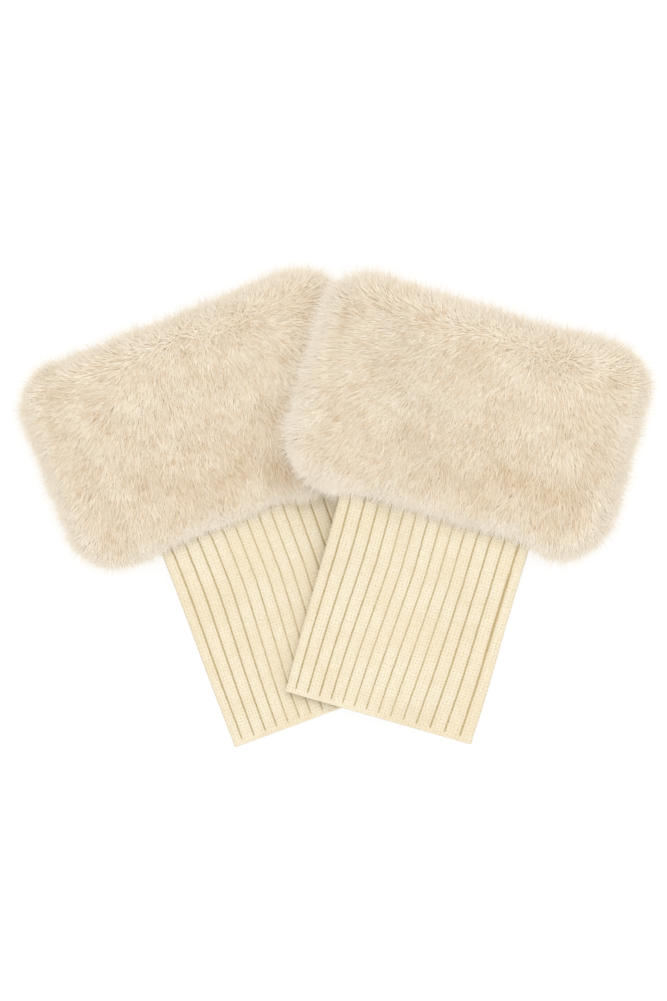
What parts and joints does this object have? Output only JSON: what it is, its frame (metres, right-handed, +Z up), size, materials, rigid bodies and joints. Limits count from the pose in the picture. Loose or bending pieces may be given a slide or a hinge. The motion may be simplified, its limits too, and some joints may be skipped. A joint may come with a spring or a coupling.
{
  "type": "pair of knitted boot cuffs with fur bands",
  "caption": "Ribbed knit tube cuffs, each topped with a wide band of plush fur, laid flat with one partly over the other.",
  "frame": {"origin": "middle of the pair's box in plan, on the surface that it lies on", "axes": "+Z up from the surface, +X from the left cuff to the right one, +Y from the knit hems towards the fur bands"},
  "size_m": [0.3832, 0.29, 0.0446],
  "materials": {
    "fur": "dense cream plush pile with a tan underfur",
    "knit": "matt ivory rib knit"
  },
  "bodies": {
    "root": {"left_fur_band": "fur", "left_knit_tube": "knit", "right_fur_band": "fur", "right_knit_tube": "knit"}
  },
  "joints": []
}
